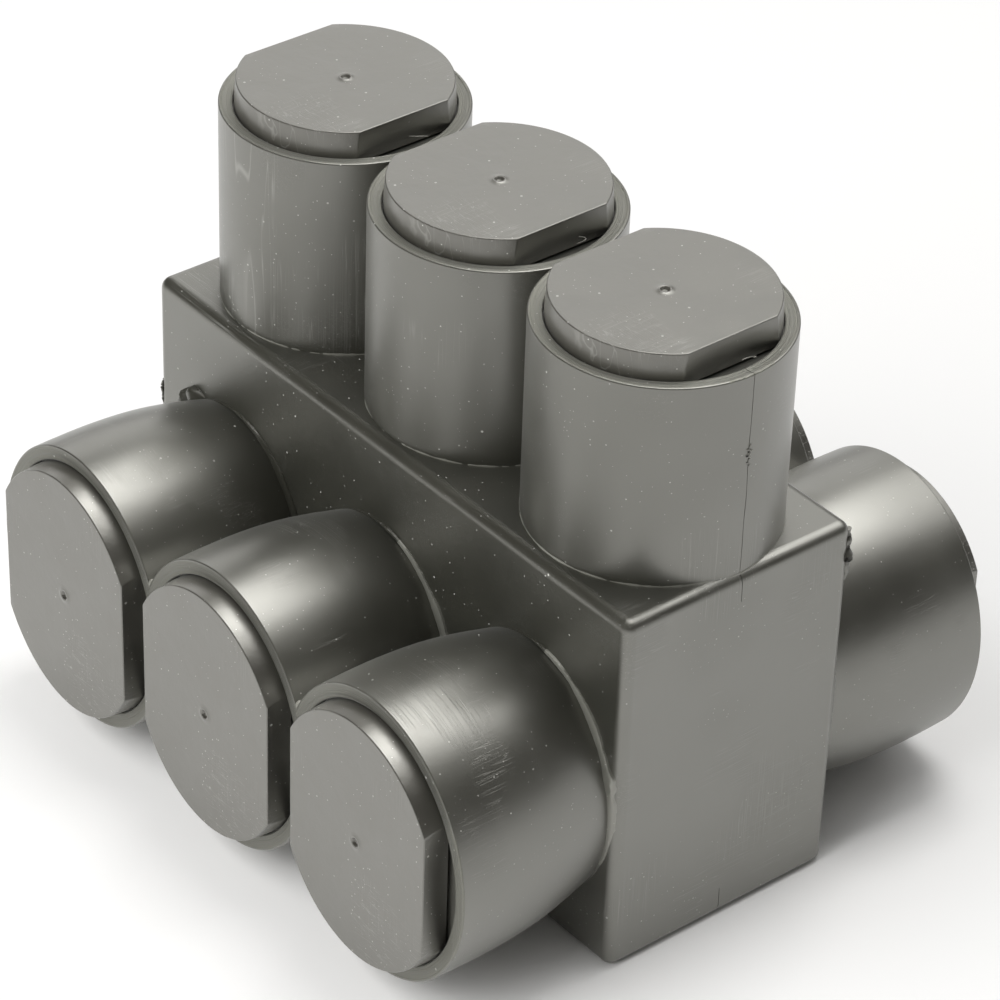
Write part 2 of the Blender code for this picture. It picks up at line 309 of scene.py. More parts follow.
def maths(tree, operation, *values):
    return node(tree, "Math", dict(enumerate(values)), operation=operation).outputs[0]


def remap(tree, value, low, high, to_low=0.0, to_high=1.0):
    """Value from low to high as a soft step from to_low to to_high."""
    inputs = {"Value": value, "From Min": low, "From Max": high, "To Min": to_low, "To Max": to_high}
    return node(tree, "MapRange", inputs, interpolation_type="SMOOTHSTEP").outputs["Result"]


def mix(tree, factor, first, second):
    """Colour between two colours."""
    return node(tree, "Mix", {0: factor, 6: first, 7: second}, data_type="RGBA").outputs[2]


def stretched(tree, vector, scale):
    return node(tree, "Mapping", {"Vector": vector, "Scale": scale}).outputs["Vector"]


def noise_value(tree, vector, scale, detail=2.0, rough=0.5):
    inputs = {"Vector": vector, "Scale": scale, "Detail": detail, "Roughness": rough}
    return node(tree, "TexNoise", inputs).outputs["Fac"]


def new_group(name, inputs, outputs):
    """Empty shader node group with the named sockets, and its two end nodes."""
    tree = bpy.data.node_groups.new(name, "ShaderNodeTree")
    for label, kind, default in inputs:
        socket = tree.interface.new_socket(label, in_out="INPUT", socket_type="NodeSocket" + kind)
        if default is not None:
            socket.default_value = default
    for label, kind in outputs:
        tree.interface.new_socket(label, in_out="OUTPUT", socket_type="NodeSocket" + kind)
    return tree, tree.nodes.new("NodeGroupInput"), tree.nodes.new("NodeGroupOutput")


def use_group(tree, name, inputs):
    made = tree.nodes.new("ShaderNodeGroup")
    made.node_tree = bpy.data.node_groups[name]
    for key, value in inputs.items():
        if isinstance(value, bpy.types.NodeSocket):
            tree.links.new(value, made.inputs[key])
        else:
            made.inputs[key].default_value = value
    return made


def dust_group():
    """Small pale specks of dust, thrown over the surface at random."""
    tree, start, end = new_group("dust_specks", [("Vector", "Vector", None), ("Scale", "Float", 900.0),
                                                 ("Size", "Float", 0.16), ("Amount", "Float", 0.1)],
                                 [("Mask", "Float")])
    cells = node(tree, "TexVoronoi", {"Vector": start.outputs["Vector"], "Scale": start.outputs["Scale"]})
    split = node(tree, "SeparateColor", {"Color": cells.outputs["Color"]})
    chosen = maths(tree, "LESS_THAN", split.outputs[0], start.outputs["Amount"])
    width = maths(tree, "MULTIPLY", start.outputs["Size"], maths(tree, "ADD", split.outputs[1], 0.3))
    near = maths(tree, "LESS_THAN", cells.outputs["Distance"], width)
    pale = maths(tree, "ADD", 0.25, maths(tree, "MULTIPLY", split.outputs[2], 0.75))
    tree.links.new(maths(tree, "MULTIPLY", maths(tree, "MULTIPLY", chosen, near), pale), end.inputs["Mask"])


def scratch_group():
    """Short fine scratches along one direction, in patches."""
    tree, start, end = new_group("fine_scratches", [("Vector", "Vector", None), ("Width", "Float", 0.02),
                                                    ("Patches", "Float", 60.0), ("Amount", "Float", 0.5)],
                                 [("Mask", "Float")])
    lines = noise_value(tree, start.outputs["Vector"], 1.0, 1.0, 0.4)
    away = maths(tree, "ABSOLUTE", maths(tree, "SUBTRACT", lines, 0.5))
    thin = maths(tree, "SUBTRACT", 1.0, remap(tree, away, 0.0, start.outputs["Width"]))
    coordinates = node(tree, "TexCoord").outputs["Object"]
    patch = noise_value(tree, coordinates, start.outputs["Patches"], 2.0)
    level = maths(tree, "SUBTRACT", 0.75, maths(tree, "MULTIPLY", start.outputs["Amount"], 0.3))
    gate = remap(tree, patch, level, maths(tree, "ADD", level, 0.08))
    tree.links.new(maths(tree, "MULTIPLY", thin, gate), end.inputs["Mask"])


def mottle_group():
    """Soft clouds and a fine moulded grain."""
    tree, start, end = new_group("moulded_mottle", [("Vector", "Vector", None), ("Clouds", "Float", 70.0),
                                                    ("Grain", "Float", 1800.0)],
                                 [("Clouds", "Float"), ("Grain", "Float")])
    clouds = noise_value(tree, start.outputs["Vector"], start.outputs["Clouds"], 4.0, 0.55)
    grain = noise_value(tree, start.outputs["Vector"], start.outputs["Grain"], 2.0, 0.6)
    tree.links.new(clouds, end.inputs["Clouds"])
    tree.links.new(grain, end.inputs["Grain"])


def rings_group():
    """Distance from the nearest port's axis, for marks that run round a mouth."""
    tree, start, end = new_group("port_rings",
                                 [("Vector", "Vector", None), ("Pitch", "Float", PITCH),
                                  ("Axis Height", "Float", SLEEVE_AXIS), ("Oval", "Float", 1.0)],
                                 [("Tower Radius", "Float"), ("Sleeve Radius", "Float")])
    axes = node(tree, "SeparateXYZ", {"Vector": start.outputs["Vector"]})
    half = maths(tree, "MULTIPLY", start.outputs["Pitch"], 0.5)
    lowest = maths(tree, "MULTIPLY", half, -1.0)
    across = maths(tree, "WRAP", axes.outputs["X"], half, lowest)
    up = maths(tree, "DIVIDE", maths(tree, "SUBTRACT", axes.outputs["Z"], start.outputs["Axis Height"]),
               start.outputs["Oval"])
    across_squared = maths(tree, "MULTIPLY", across, across)
    for label, other in (("Tower Radius", axes.outputs["Y"]), ("Sleeve Radius", up)):
        squares = maths(tree, "ADD", across_squared, maths(tree, "MULTIPLY", other, other))
        tree.links.new(maths(tree, "SQRT", squares), end.inputs[label])


def build_groups():
    if "dust_specks" in bpy.data.node_groups:
        return
    dust_group()
    scratch_group()
    mottle_group()
    rings_group()


def new_material(name):
    """Empty material with its shader, and the tree, shader and object coordinates."""
    material = bpy.data.materials.new(name)
    material.use_nodes = True
    tree = material.node_tree
    shader = tree.nodes["Principled BSDF"]
    coordinates = node(tree, "TexCoord").outputs["Object"]
    return material, tree, shader, coordinates


def feed(tree, shader, colour_socket, roughness, height, distance):
    """Wires colour, roughness and a bump height to the shader."""
    tree.links.new(colour_socket, shader.inputs["Base Color"])
    tree.links.new(roughness, shader.inputs["Roughness"])
    bump = node(tree, "Bump", {"Height": height, "Distance": distance})
    tree.links.new(bump.outputs["Normal"], shader.inputs["Normal"])


def paint(base, strength=1.0):
    """Colour for a socket, from red, green and blue times a strength."""
    return (*(strength * part for part in base), 1.0)


def dust_mask(tree, where, scale, size, amount):
    inputs = {"Vector": where, "Scale": scale, "Size": size, "Amount": amount}
    return use_group(tree, "dust_specks", inputs).outputs["Mask"]


def scratch_mask(tree, vector, **values):
    return use_group(tree, "fine_scratches", {"Vector": vector, **values}).outputs["Mask"]


def soft_gloss(shader, ior, tint, sheen):
    """Gloss of soft plastic: slightly warm, and a little milky at grazing angles."""
    shader.inputs["IOR"].default_value = ior
    shader.inputs["Specular IOR Level"].default_value = 0.9
    shader.inputs["Specular Tint"].default_value = paint(tint)
    shader.inputs["Sheen Weight"].default_value = sheen
    shader.inputs["Sheen Roughness"].default_value = 0.4


# Scratches: scale along X, Y and Z, high where they lie close together. Clouds: scale and relief.
FINISHES = {
    "cover": {"roughness": 0.4, "scratches": (40, 4200, 40), "ior": 2.0, "clouds": (70.0, 0.35)},
    "plug": {"roughness": 0.38, "scratches": (300, 2400, 300), "ior": 1.9, "clouds": (210.0, 0.55)},
    "flash": {"roughness": 0.45, "scratches": (900, 900, 900), "ior": 1.9, "clouds": (70.0, 0.2)},
}
SCUFF_COLOUR = (0.2, 0.2, 0.185)


def moulded_material(name, base, colours, finish):
    """Soft moulded plastic with clouds, grain, fine scratches and dust."""
    build_groups()
    look = FINISHES[finish]
    roughness, (cloud_scale, cloud_depth) = look["roughness"], look["clouds"]
    material, tree, shader, where = new_material(name)
    mottle = use_group(tree, "moulded_mottle", {"Vector": where, "Clouds": cloud_scale})
    clouds, grain = mottle.outputs["Clouds"], mottle.outputs["Grain"]
    body = mix(tree, remap(tree, clouds, 0.3, 0.7), paint(base, 0.86), paint(base, 1.16))
    across = scratch_mask(tree, stretched(tree, where, look["scratches"]), Amount=0.6)
    lengthwise = stretched(tree, where, (3100.0, 70.0, 3100.0))
    shifted = node(tree, "VectorMath", {0: lengthwise, 1: (5.0, 9.0, 2.0)}, operation="ADD").outputs["Vector"]
    along = scratch_mask(tree, shifted, Patches=85.0, Amount=0.55)
    scratches = maths(tree, "MAXIMUM", across, maths(tree, "MULTIPLY", along, 0.7))
    scuffed = mix(tree, maths(tree, "MULTIPLY", scratches, 0.5), body, paint(SCUFF_COLOUR))
    settled = remap(tree, clouds, 0.35, 0.65, 0.35 * colours.dust_amount, 1.6 * colours.dust_amount)
    specks = maths(tree, "MAXIMUM", dust_mask(tree, where, 1700.0, 0.11, settled),
                   dust_mask(tree, where, 560.0, 0.06, settled))
    final = mix(tree, maths(tree, "MULTIPLY", specks, 0.85), scuffed, paint(colours.dust))
    rough = maths(tree, "ADD", remap(tree, clouds, 0.3, 0.7, roughness - 0.04, roughness + 0.05),
                  maths(tree, "MULTIPLY", specks, 0.4))
    fine_relief = maths(tree, "SUBTRACT", maths(tree, "MULTIPLY", grain, 0.02),
                        maths(tree, "MULTIPLY", scratches, 0.05))
    relief = maths(tree, "ADD", maths(tree, "MULTIPLY", clouds, cloud_depth), fine_relief)
    feed(tree, shader, final, rough, relief, 0.2 * MM)
    soft_gloss(shader, look["ior"], (1.0, 0.99, 0.915), 0.1)
    shader.inputs["Coat Weight"].default_value = 0.5
    shader.inputs["Coat Roughness"].default_value = 0.32
    return material


def rim_material(colours, oval):
    """Slope inside a lip, with tool marks that run round the mouth and a lighter tone that paints the light
    the slope catches.
    """
    build_groups()
    material, tree, shader, where = new_material("rim_slope_marks_and_painted_light")
    rings = use_group(tree, "port_rings", {"Vector": where, "Oval": oval})
    height = node(tree, "SeparateXYZ", {"Vector": where}).outputs["Z"]
    on_tower = maths(tree, "GREATER_THAN", height, TOWER_TOP - 3 * MM)
    radii = {0: on_tower, 2: rings.outputs["Sleeve Radius"], 3: rings.outputs["Tower Radius"]}
    radius = node(tree, "Mix", radii, data_type="FLOAT").outputs[0]
    around = node(tree, "CombineXYZ", {"X": maths(tree, "MULTIPLY", radius, 9000.0)}).outputs["Vector"]
    slow = stretched(tree, where, (55.0, 55.0, 55.0))
    mixed = node(tree, "VectorMath", {0: around, 1: slow}, operation="ADD").outputs["Vector"]
    marks = noise_value(tree, mixed, 1.0)
    # The ring marks are tool marks; their lighter tone, up to 2.8 times the cover, is painted light on the
    # slope.
    body = mix(tree, remap(tree, marks, 0.35, 0.65), paint(colours.cover), paint(colours.cover, 2.8))
    specks = dust_mask(tree, where, 900.0, 0.1, 0.5)
    final = mix(tree, maths(tree, "MULTIPLY", specks, 0.8), body, paint(colours.dust))
    feed(tree, shader, final, remap(tree, marks, 0.3, 0.7, 0.42, 0.6), marks, 0.08 * MM)
    soft_gloss(shader, 2.0, (1.0, 0.995, 0.9), 0.3)
    return material


# Just outside a screw hole's wall, from its axis
SCREW_HOLE_REACH = 8.6 * MM


def metal_material(name, base, thread):
    """Machined aluminium with fine tool marks, and thread turns in the screw holes."""
    build_groups()
    material, tree, shader, where = new_material(name)
    marks = noise_value(tree, stretched(tree, where, (60.0, 60.0, 2600.0)), 1.0, 2.0, 0.6)
    clouds = use_group(tree, "moulded_mottle", {"Vector": where, "Clouds": 160.0}).outputs["Clouds"]
    body = mix(tree, remap(tree, clouds, 0.3, 0.7), paint(base, 0.86), paint(base))
    rough = remap(tree, marks, 0.3, 0.7, 0.24, 0.4)
    relief = maths(tree, "MULTIPLY", marks, 0.05)
    if thread:
        rings = use_group(tree, "port_rings", {"Vector": where})
        inside = maths(tree, "LESS_THAN", rings.outputs["Tower Radius"], SCREW_HOLE_REACH)
        height = node(tree, "SeparateXYZ", {"Vector": where}).outputs["Z"]
        turn = maths(tree, "PINGPONG", maths(tree, "DIVIDE", height, thread / 2), 1.0)
        turns = maths(tree, "MULTIPLY", turn, inside)
        relief = maths(tree, "ADD", relief, maths(tree, "MULTIPLY", turns, 2.0))
    feed(tree, shader, body, rough, relief, 0.3 * MM)
    shader.inputs["Metallic"].default_value = 1.0
    return material


def place_piece(obj, material, body, node_name=None):
    """Gives the piece its material and ties it to the frame."""
    if not obj.data.materials:
        obj.data.materials.append(material)
    if node_name:
        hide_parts(node_name)
    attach(obj, body)


# Pieces

COVER_SEGMENTS = 144
PLUG_SEGMENTS = 128
SCREW_SEGMENTS = 60


class TAPCONNECTOR_OT_cover(bpy.types.Operator):
    """Build the one-piece moulded cover with its towers, sleeves and rims"""
    bl_idname = "tapconnector.cover"
    bl_label = "Moulded Cover"

    def execute(self, context):
        sizes, colours = context.scene.tap_cover, context.scene.tap_colours
        mouths = both_mouths(sizes)
        cover = rounded_box("moulded_cover", (-sizes.body_half_length, -sizes.body_half_depth, 0),
                            (sizes.body_half_length, sizes.body_half_depth, sizes.body_height),
                            sizes.body_rounding, 6)
        combine(cover, self.forms(sizes, mouths), "UNION")
        combine(cover, self.cutters(sizes, mouths) + self.seams(sizes), "DIFFERENCE")
        self.clean(cover)
        cover.data.materials.clear()
        cover.data.materials.append(moulded_material("cover_plastic", colours.cover, colours, "cover"))
        cover.data.materials.append(rim_material(colours, mouths["sleeve"].oval))
        self.mark_rims(cover, sizes, mouths)
        shade(cover, 30)
        place_piece(cover, None, "connector", "insulating_cover")
        return {"FINISHED"}

    def forms(self, sizes, mouths):
        """Towers and sleeves, each running a little into the body."""
        root = sizes.wall / 2
        rings = {"tower": self.tower_rings(sizes, mouths["tower"], root),
                 "sleeve": self.sleeve_rings(sizes, mouths["sleeve"], root)}
        made = []
        for port in PORTS:
            for name, kind, place in mouth_places(port):
                form = mesh_object(f"{name}_form_{port}", loft(rings[kind]))
                form.matrix_world = place
                made.append(form)
        return made

    def lip_rings(self, sizes, mouth):
        """Middle of the mouth's face and the rounded edge round it."""
        edge = sizes.lip_rounding
        lip = quarter(mouth.half_width - edge, -edge, edge, 90, 0, 4)
        return [circle(radius, height, COVER_SEGMENTS, mouth.oval) for radius, height in [(0, 0), *lip]]

    def tower_rings(self, sizes, tower, root):
        """Round tower from its top to a little inside the body."""
        foot = sizes.body_height - TOWER_TOP - root
        return [*self.lip_rings(sizes, tower), circle(tower.half_width, foot, COVER_SEGMENTS),
                circle(0, foot, COVER_SEGMENTS)]

    def sleeve_rings(self, sizes, sleeve, root):
        """Barrel from the mouth to a little inside the body, fullest just past half its length."""
        fullest, steps = 0.56, 22
        reach = SLEEVE_REACH - sizes.body_half_depth
        half_height = sleeve.half_width * sleeve.oval
        rings = self.lip_rings(sizes, sleeve)
        for step in range(1, steps + 1):
            along = step / steps
            before = math.sin(math.pi / 2 * along / fullest)
            after = math.cos(math.pi / 2 * (along - fullest) / (1 - fullest))
            swell = sizes.sleeve_swell * (before if along < fullest else after)
            wide = sleeve.half_width + (sizes.sleeve_root_half_width - sleeve.half_width) * along + swell
            high = half_height + (sizes.sleeve_root_half_height - half_height) * along + swell
            rings.append(circle(wide, -reach * along, COVER_SEGMENTS, high / wide))
        rings.append([point + Vector((0, 0, -root)) for point in rings[-1]])
        rings.append([Vector((0, 0, -reach - root))])
        return rings

    def mouth_profile(self, sizes, mouth):
        """Radius and height down a mouth: the slope inside the lip, the plug's seat, then the bore."""
        lip, recess, spare = mouth.half_width - sizes.lip_width, mouth.recess_radius, 1 * MM
        return [(0, spare), (lip + 0.3 * spare, spare), (lip + 0.04 * MM, 0), (lip - 0.06 * MM, -0.06 * MM),
                (recess + 0.1 * MM, -sizes.slope_depth + 0.03 * MM), (recess, -sizes.slope_depth - 0.06 * MM),
                (recess, -sizes.seat_depth), (mouth.bore_radius, -sizes.seat_depth),
                (mouth.bore_radius, -mouth.depth - spare), (0, -mouth.depth - spare)]

    def cutters(self, sizes, mouths):
        """Room for the block, and the space of each mouth down to it."""
        wall = sizes.wall
        room = rounded_box("block_room", (wall - sizes.body_half_length, wall - sizes.body_half_depth, wall),
                           (sizes.body_half_length - wall, sizes.body_half_depth - wall,
                            sizes.body_height - wall), 0, 0)
        made = [room]
        for port in PORTS:
            for name, kind, place in mouth_places(port):
                cutter = turned(f"{name}_mouth_{port}", self.mouth_profile(sizes, mouths[kind]),
                                COVER_SEGMENTS, mouths[kind].oval)
                cutter.matrix_world = place
                made.append(cutter)
        return made

    def seams(self, sizes):
        """Thin wavering slots where the two halves of the mould met, on the end towers and end faces."""
        deep = 0.06 * MM
        face, end, top = PITCH + sizes.tower_radius, sizes.body_half_length, sizes.body_height
        # Corners of each run, as (x, z)
        runs = {"rim": ((face - 2.4 * MM, TOWER_TOP - 0.75 * MM), (face - 0.1 * MM, TOWER_TOP - 0.1 * MM),
                        (face - deep, TOWER_TOP - deep), (face - deep, top + 0.1 * MM)),
                "edge": ((face - 0.5 * MM, top - deep), (end - 1.0 * MM, top - deep - 0.12 * MM),
                         (end - 0.45 * MM, top - 0.75 * MM), (end - deep, top - 1.6 * MM),
                         (end - deep, top - 3.4 * MM)),
                "foot": ((end - deep, 3.6 * MM), (end - deep, 1.4 * MM), (end - 0.6 * MM, 0.4 * MM),
                         (end - 1.4 * MM, deep))}
        return [self.seam(name, self.short_steps(run), side, sizes.seam_width)
                for side in (-1, 1) for name, run in runs.items()]

    def short_steps(self, run):
        """Points along a run, about 0.8 mm apart."""
        points = []
        for (x, z), (next_x, next_z) in zip(run, run[1:]):
            count = max(1, round(math.hypot(next_x - x, next_z - z) / (0.8 * MM)))
            points += [(x + (next_x - x) * k / count, z + (next_z - z) * k / count) for k in range(count)]
        return [*points, run[-1]]

    def seam(self, name, path, side, width):
        """Solid to cut one slot on one side, from its floor to a little outside the cover."""
        spare = 0.5 * MM
        rings = []
        for place, (x, z) in enumerate(path):
            before, after = path[max(place - 1, 0)], path[min(place + 1, len(path) - 1)]
            run_x, run_z = after[0] - before[0], after[1] - before[1]
            size = math.hypot(run_x, run_z)
            out_x, out_z = -run_z / size, run_x / size
            if out_x * x + out_z * (z - SLEEVE_AXIS) < 0:
                out_x, out_z = -out_x, -out_z
            wander = 0.16 * MM * noise.noise(Vector((180 * x, 3 * side, 180 * z)))
            half = width / 2 * (1.0 + 0.6 * noise.noise(Vector((420 * x, side, 420 * z))))
            rings.append([Vector((side * (x + out_x * lift), wander + shift, z + out_z * lift))
                          for lift, shift in ((0, -half), (spare, -half), (spare, half), (0, half))])
        ends = [sum(ring, Vector()) / 4 for ring in (rings[0], rings[-1])]
        return mesh_object(f"{name}_seam", loft([[ends[0]], *rings, [ends[1]]]))

    def clean(self, cover):
        """Removes doubled points left by the cuts."""
        bm = bmesh.new()
        bm.from_mesh(cover.data)
        bmesh.ops.remove_doubles(bm, verts=bm.verts, dist=0.004 * MM)
        bmesh.ops.dissolve_degenerate(bm, edges=bm.edges, dist=0.002 * MM)
        bm.to_mesh(cover.data)
        bm.free()

    def mark_rims(self, cover, sizes, mouths):
        """Gives the slopes inside the lips the second material, with its ring marks and painted light."""
        below = sizes.slope_depth + 0.04 * MM
        for face in cover.data.polygons:
            middle = face.center
            across = middle.x - PITCH * round(middle.x / PITCH)
            if middle.z > TOWER_TOP - below:
                mouth, other = mouths["tower"], middle.y
            elif abs(middle.y) > SLEEVE_REACH - below:
                mouth, other = mouths["sleeve"], (middle.z - SLEEVE_AXIS) / mouths["sleeve"].oval
            else:
                mouth, other = None, 0
            rim = mouth and math.hypot(across, other) < mouth.half_width - 0.6 * sizes.lip_width
            face.material_index = 1 if rim else 0


def bump(angle, middle, spread):
    """Smooth bump of height 1 round a middle angle, in radians."""
    away = (angle - middle + math.pi) % math.tau - math.pi
    return math.exp(-(away / spread) ** 2)


def tube(bm, points, radii, sides):
    """Adds a closed tube through the points to the bmesh, with one radius for each point."""
    rings = []
    for place, (point, radius) in enumerate(zip(points, radii)):
        along = points[min(place + 1, len(points) - 1)] - points[max(place - 1, 0)]
        turn = along.to_track_quat("Z", "Y")
        rings.append([point + turn @ spot for spot in circle(radius, 0, sides)])
    part = loft([[points[0]], *rings, [points[-1]]])
    mesh = bpy.data.meshes.new("part")
    part.to_mesh(mesh)
    part.free()
    bm.from_mesh(mesh)
    bpy.data.meshes.remove(mesh)


class TAPCONNECTOR_OT_flash(bpy.types.Operator):
    """Add the collars and thin flash at the roots, the webs between mouths and the torn bits of plastic"""
    bl_idname = "tapconnector.flash"
    bl_label = "Moulding Flash"

    def execute(self, context):
        self.sizes, colours = context.scene.tap_cover, context.scene.tap_colours
        sizes = self.sizes
        self.plain = moulded_material("flash_plastic", colours.cover, colours, "flash")
        # Pale material, also used on the webs and rim curls; on the wide collars and root flash it is a
        # painted highlight.
        self.pale = moulded_material("pale_plastic_painted_highlight", colours.flash, colours, "flash")
        self.torn = False
        for port in PORTS:
            self.ridge(f"tower_root_flash_{port}", port, (sizes.tower_radius, sizes.tower_radius),
                       Matrix.Translation((port_x(port), 0, sizes.body_height)), self.thin_flash, 0.1 * MM)
            for side, name in ((-1, "front"), (1, "rear")):
                self.up = -side
                self.torn = (name, port) in (("front", 1), ("rear", 3))
                self.ridge(f"{name}_root_collar_{port}", port,
                           (sizes.sleeve_root_half_width, sizes.sleeve_root_half_height),
                           sleeve_place(port, side, sizes.body_half_depth), self.collar, 0.3 * MM)
        self.webs(Mouth("sleeve", sizes))
        self.torn_bits()
        self.curls_and_knot()
        return {"FINISHED"}

    def thin_flash(self, angle, wave):
        """Start, width and height of the flash at one angle round a tower's root."""
        size = 1.0 + 0.7 * wave
        return -0.1 * MM, 0.13 * MM * size, 0.15 * MM * size

    def collar(self, angle, wave):
        """Start, width and height of the collar at one angle round a sleeve's root.

        It is fullest towards +X, cracked open near the top, and torn high on the -X side of two sleeves.
        Each place is given by its middle angle and its spread, in radians.
        """
        angle *= self.up
        full, crack = bump(angle, 0.42, 0.72), bump(angle, 1.4, 0.42)
        torn = max(0.0, bump(angle, 2.25, 0.4) * (0.6 + 1.4 * wave)) if self.torn else 0.0
        start = -0.1 * MM + 0.27 * MM * crack
        width = (0.12 * MM + self.sizes.collar_width * full) * (1.0 + 0.35 * wave) + 1.1 * MM * torn
        height = 0.1 * MM + 0.3 * MM * max(full, 0.7 * crack) + 0.6 * MM * torn
        return start, width, height * (1.0 + 0.3 * wave)

    def ridge(self, name, port, oval, place, shape, painted_highlight_from):
        """Low uneven ridge round an oval root, with a painted highlight (the pale material) where it is wide,
        cut off halfway to the next port.
        """
        bm = bmesh.new()
        segments, buried = 240, -0.3 * MM
        rounding = self.sizes.body_rounding
        corner_start = self.sizes.body_half_length - rounding
        rows, wide = [], []
        for step in range(segments):
            angle = math.tau * step / segments
            x, y = math.cos(angle), math.sin(angle)
            normal = Vector((x / oval[0], y / oval[1])).normalized()
            wave = noise.noise(Vector((6 * x, 6 * y, port * 7.3 + oval[1] * 900)))
            wave += 0.5 * noise.noise(Vector((25 * x, 25 * y, port * 3.1)))
            start, width, height = shape(angle, wave)
            wide.append(width > painted_highlight_from)
            row = []
            for out, up in ((start, buried), (start + 0.01 * MM, height),
                            (start + 0.8 * width, 0.95 * height), (start + width, 0.6 * height),
                            (start + 1.05 * width, buried)):
                spot = Vector((oval[0] * x, oval[1] * y)) + normal * out
                away = min(abs(port_x(port) + spot.x) - corner_start, 0.98 * rounding)
                if away > 0:
                    spot.x = math.copysign(corner_start + away, spot.x) - port_x(port)
                    up -= rounding - math.sqrt(rounding ** 2 - away ** 2)
                row.append(bm.verts.new((spot.x, spot.y, up)))
            rows.append(row)
        for first, second, pale in zip(rows, rows[1:] + rows[:1], wide):
            for corner in range(len(first)):
                after = (corner + 1) % len(first)
                face = bm.faces.new((first[corner], second[corner], second[after], first[after]))
                # Wide parts take the pale material, a painted highlight along the ridge's edge.
                face.material_index = 1 if pale and not self.torn else 0
        bmesh.ops.recalc_face_normals(bm, faces=bm.faces)
        for side in (-1, 1):
            if PORTS[0] <= port + side <= PORTS[-1]:
                cut = bmesh.ops.bisect_plane(bm, geom=list(bm.verts) + list(bm.edges) + list(bm.faces),
                                             plane_co=(side * PITCH / 2, 0, 0), plane_no=(side, 0, 0),
                                             clear_outer=True)
                edges = [part for part in cut["geom_cut"] if isinstance(part, bmesh.types.BMEdge)]
                bmesh.ops.holes_fill(bm, edges=edges, sides=0)
        self.finish(name, bm, 40, (self.plain, self.pale), place)

    def finish(self, name, bm, sharp, materials, place=None):
        obj = mesh_object(name, bm)
        if place:
            obj.matrix_world = place
        shade(obj, sharp)
        for material in materials:
            obj.data.materials.append(material)
        place_piece(obj, None, "connector")

    def webs(self, sleeve):
        """Small drops of plastic in the notches where two neighbouring mouths meet."""
        bm = bmesh.new()
        cusp = sleeve.half_width * sleeve.oval * math.sqrt(1 - (PITCH / 2 / sleeve.half_width) ** 2)
        # Place along the notch and radius, in millimetres
        drop = ((-2.2, 0.1), (-1.6, 0.3), (-0.9, 0.46), (-0.4, 0.5), (-0.12, 0.4), (-0.04, 0.22))
        for side, left, up in itertools.product((-1, 1), PORTS[:-1], (-1, 1)):
            middle = Vector((port_x(left) + PITCH / 2, side * SLEEVE_REACH,
                             SLEEVE_AXIS + up * (cusp + 0.12 * MM)))
            points = [middle + Vector((0, side, up * 0.1)) * depth * MM for depth, radius in drop]
            tube(bm, points, [radius * MM for depth, radius in drop], 14)
        self.finish("mouth_webs", bm, 60, (self.pale,))

    def torn_bits(self):
        """Rough bits of flash on two upright corners of the body, where the mould halves parted."""
        bm = bmesh.new()
        sizes, count = self.sizes, 15
        # Side of the body, lower and upper end in millimetres, place in the noise, thickness
        for side, low, high, seed, thick in ((1, 36.4, 42.6, 3.0, 1.0), (-1, 26.8, 30.4, 8.0, 0.6)):
            corner = Vector((side * (sizes.body_half_length - 0.45 * MM),
                             side * (sizes.body_half_depth - 0.3 * MM), 0))
            points, radii = [], []
            for step in range(count):
                height = (low + (high - low) * step / (count - 1)) * MM
                wave = noise.noise(Vector((seed, 700 * height, 0)))
                drift = noise.noise(Vector((seed, 0, 900 * height)))
                points.append(corner + Vector((0.35 * MM * wave, side * 0.3 * MM * drift, height)))
                taper = math.sin(math.pi * (step + 0.5) / count)
                radii.append(thick * (0.28 + 0.4 * max(0.0, 0.4 + 1.1 * wave) * taper) * MM)
            tube(bm, points, radii, 12)
        self.finish("torn_corner_flash", bm, 60, (self.plain,))

    def curls_and_knot(self):
        """Fine curls of plastic on the tower rims beside the plugs' flats, and a knot on one seam."""
        bm = bmesh.new()
        steps = range(11)
        # For each port: start from the tower's axis along X and Y and reach, in millimetres, then the bend
        curls = {3: ((7.2, 1.0, 2.6, 1.4), (8.6, 2.2, 1.5, -1.1), (11.2, 1.6, 1.1, 2.0)),
                 2: ((10.3, 1.6, 2.2, 1.2),), 1: ((10.6, 2.4, 1.8, -1.3),)}
        for port, marks in curls.items():
            for number, (x, y, reach, bend) in enumerate(marks):
                points = []
                for part in (step / 10 for step in steps):
                    turn, lift = 2.0 * bend * part, 0.05 - 0.3 * math.cos(3 * part + number) * (1 - part)
                    spot = Vector((x + 0.55 * reach * part * math.cos(turn),
                                   y + reach * part * math.sin(0.8 + turn), lift))
                    points.append(Vector((port_x(port), 0, TOWER_TOP)) + spot * MM)
                tube(bm, points, [0.045 * MM for step in steps], 6)
        face, knot_foot, knot_step, widest = PITCH + self.sizes.tower_radius, 55.9 * MM, 0.26 * MM, 6
        knot = [Vector((face + 0.02 * MM, 0.25 * MM * math.sin(2.1 * step), knot_foot + knot_step * step))
                for step in steps]
        tube(bm, knot, [(0.05 + 0.16 * math.exp(-((step - widest) / 1.6) ** 2)) * MM for step in steps], 8)
        self.finish("rim_curls", bm, 80, (self.pale,))


